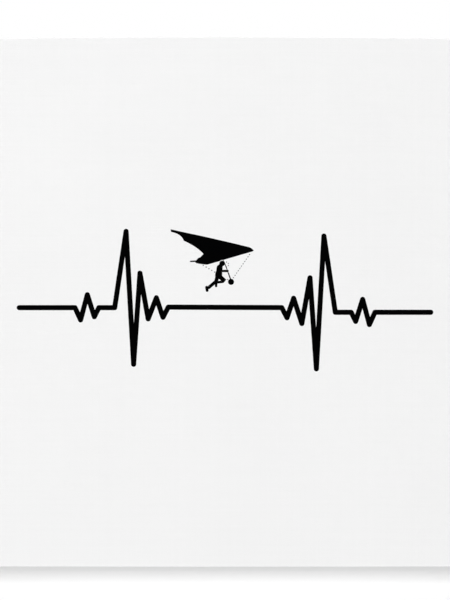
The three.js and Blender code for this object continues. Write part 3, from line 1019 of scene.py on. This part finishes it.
def strap_line():
    """The strap's strip in depth and height about the eye: up the back, round the wire, down the front."""
    back = BACK - JOINTS["ring_left"].y + STRIP_GAP + STRIP / 2
    front = back + STRIP + LAYER_GAP
    line = [(back, -STRIP_LENGTH * (1 - 0.9 * step / 24)) for step in range(25)]
    line += arc_points((0.0, 0.0), EYE_LINE, *EYE_ARC, 26)
    line += [(front, -FRONT_LENGTH * (0.12 + 0.88 * step / 22)) for step in range(1, 23)]
    return line


def build_strap(side):
    """One strip of sheet, folded round the ring's wire, with two rounded feet."""
    centre = JOINTS[f"ring_{side}"]
    line = strap_line()
    foot = STRIP_WIDTH / 2
    sections = []
    for index, (depth, height) in enumerate(line):
        ahead = Vector(line[min(len(line) - 1, index + 1)]) - Vector(line[max(0, index - 1)])
        out = Vector((-ahead.y, ahead.x)).normalized() * (STRIP / 2)
        end = line[0] if index < len(line) / 2 else line[-1]
        left = min(foot, max(0.02 * MM, abs(height - end[1])))
        wide = math.sqrt(max(0.0, foot**2 - (foot - left) ** 2))
        section = []
        for x, flip in ((-wide, -1), (wide, -1), (wide, 1), (-wide, 1)):
            section.append(centre + Vector((x, depth + flip * out.x, height + flip * out.y)))
        sections.append(section)
    mesh = skin(sections, capped=True)
    soften(mesh, STRIP_ROUND, angle=60.0)
    finish_piece(f"strap_{side}_strip", mesh, "panel", "zinc", ZINC, replaces=[f"strap_{side}"])


def cross_corners(arm, half):
    """Outline of a cross, from arm's end to arm's end."""
    corners = []
    for quarter in range(4):
        c, s = math.cos(quarter * QUARTER), math.sin(quarter * QUARTER)
        for x, y in ((half, half), (arm, half), (arm, -half)):
            corners.append((x * c - y * s, x * s + y * c))
    return corners


def build_screw_head():
    """A domed head with a cross recess, its back at the origin and its top along Z."""
    cross = cross_corners(SLOT_REACH, SLOT_HALF)
    cross = sorted(cross, key=lambda corner: math.atan2(corner[1], corner[0]) % TURN)
    outline = []
    for (x, y), (after_x, after_y) in zip(cross, cross[1:] + cross[:1]):
        shares = [step / SLOT_STEPS for step in range(SLOT_STEPS)]
        outline += [(x + (after_x - x) * share, y + (after_y - y) * share) for share in shares]
    start = math.atan2(outline[0][1], outline[0][0])
    floor = [(SLOT_TAPER * x, SLOT_TAPER * y, SCREW_RISE - SLOT_DEPTH) for x, y in outline]
    rings = [floor, [(x, y, SCREW_RISE - SLOT_LIP) for x, y in outline]]
    for step in range(1, DOME_STEPS + 1):
        share = step / DOME_STEPS
        full = SCREW_RADIUS * math.sin(share * QUARTER)
        pull = smooth(0.0, 0.75, share)
        circle = circle_points((0.0, 0.0), full, len(outline), start)
        ring = []
        for (x, y), far in zip(outline, circle):
            # the ring turns from the slots' outline to the circle on its way out
            near = max(1.0, full / math.hypot(x, y))
            spot = [pull * a + (1 - pull) * near * c for a, c in zip(far, (x, y))]
            out = min(1.0, math.hypot(*spot) / SCREW_RADIUS)
            ring.append((*spot, SCREW_RISE * (1 - out**2) ** 0.3))
        rings.append(ring)
    rings.append([(x, y, z - SCREW_SKIRT) for x, y, z in rings[-1]])
    return plain_mesh("screw head", skin(rings, capped=True))


def build_screws(side):
    head = bpy.data.objects.new("screw head", build_screw_head())
    low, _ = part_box(f"strap_{side}")
    hinge = JOINTS[f"ring_{side}"]
    seat = low.y + SCREW_SEAT
    places = [((hinge.x, seat, hinge.z - drop), (-QUARTER, 0.0, 0.0)) for drop in SCREW_DROPS]
    seed = 3 + SIDES.index(side)
    mesh = grow(screw_group(), marked_points(places), Seed=seed, Material=STEEL, Head=head)
    bpy.data.objects.remove(head)
    finish_piece(f"strap_{side}_screws", mesh, "panel", "zinc", sharp=50.0)


BUMPER_SPOKES = 40
BUMPER_TAPER = 0.9  # width of its top against its foot
BUMPER_ROUND = 1.2 * MM
BUMPER_DISH = 0.3 * MM


def build_bumper(side):
    """A round rubber foot with a soft shoulder and a shallow dish."""
    node = f"bumper_{side}"
    low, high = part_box(node)
    centre = (low + high) / 2
    radius = (high.x - low.x) / 2
    height = high.y - low.y
    shoulder = (radius * BUMPER_TAPER - BUMPER_ROUND, height - BUMPER_ROUND)
    profile = [(0.0, 0.0), (radius * 0.98, 0.0), (radius, 0.25 * MM)]
    profile += arc_points(shoulder, BUMPER_ROUND, 0.0, QUARTER, 6)
    profile += [(radius * 0.45, height - BUMPER_DISH / 2), (0.0, height - BUMPER_DISH)]
    rings = []
    for reach, rise in profile:
        circle = circle_points((centre.x, centre.z), reach, BUMPER_SPOKES)
        rings.append([(x, low.y + rise, z) for x, z in circle])
    finish_piece(f"{node}_rubber", skin(rings), "panel", "rubber", RUBBER, replaces=[node])


for side in SIDES:
    build_ring(side)
    build_strap(side)
    build_screws(side)
    build_bumper(side)


# Floor, light and camera


def build_floor():
    mesh = bmesh.new()
    bmesh.ops.create_grid(mesh, x_segments=4, y_segments=4, size=FLOOR_REACH)
    floor = add_object("floor", plain_mesh("floor", mesh))
    floor.data.materials.append(floor_material())


def build_light(name, place, aim, width, height, power):
    lamp = bpy.data.lights.new(name, "AREA")
    lamp.shape = "RECTANGLE"
    lamp.size = width
    lamp.size_y = height
    lamp.energy = power
    light = add_object(name, lamp)
    light.location = place
    light.rotation_mode = "QUATERNION"
    light.rotation_quaternion = (Vector(aim) - Vector(place)).to_track_quat("-Z", "Y")


def build_world():
    """Soft light all round, stronger in front, behind a plain white ground."""
    world = bpy.data.worlds.new("Studio white")
    bpy.context.scene.world = world
    world.use_nodes = True
    world.node_tree.nodes.clear()
    net = Net(world.node_tree)
    seen = net.out("ShaderNodeBackground", {"Color": WHITE, "Strength": 1.0})
    way = net.add("ShaderNodeTexCoord").outputs["Generated"]
    split = net.add("ShaderNodeSeparateXYZ", {0: way}).outputs
    level = net.remap(split["Y"], -1.0, 1.0, FRONT_GLOW, BACK_GLOW)
    strength = net.times(level, net.remap(split["Z"], 0.0, 1.0, 1.0, TOP_SHARE))
    cast = net.out("ShaderNodeBackground", {"Color": WHITE, "Strength": strength})
    ray = net.add("ShaderNodeLightPath").outputs["Is Camera Ray"]
    mix = net.out("ShaderNodeMixShader", {0: ray, 1: cast, 2: seen})
    net.add("ShaderNodeOutputWorld", {"Surface": mix})


def build_camera():
    camera = bpy.data.cameras.new("camera")
    camera.lens = LENS
    camera.sensor_width = 36.0
    camera.clip_start = 0.01
    camera.clip_end = 50.0
    view = add_object("camera", camera)
    distance = FRAME_HEIGHT * camera.lens / camera.sensor_width
    view.location = (0.0, FRONT - distance, AIM_Z)
    view.rotation_euler = (QUARTER, 0.0, 0.0)
    bpy.context.scene.camera = view


build_floor()
for light in LIGHTS:
    build_light(*light)
build_world()
build_camera()
bpy.context.scene.view_settings.view_transform = "Standard"
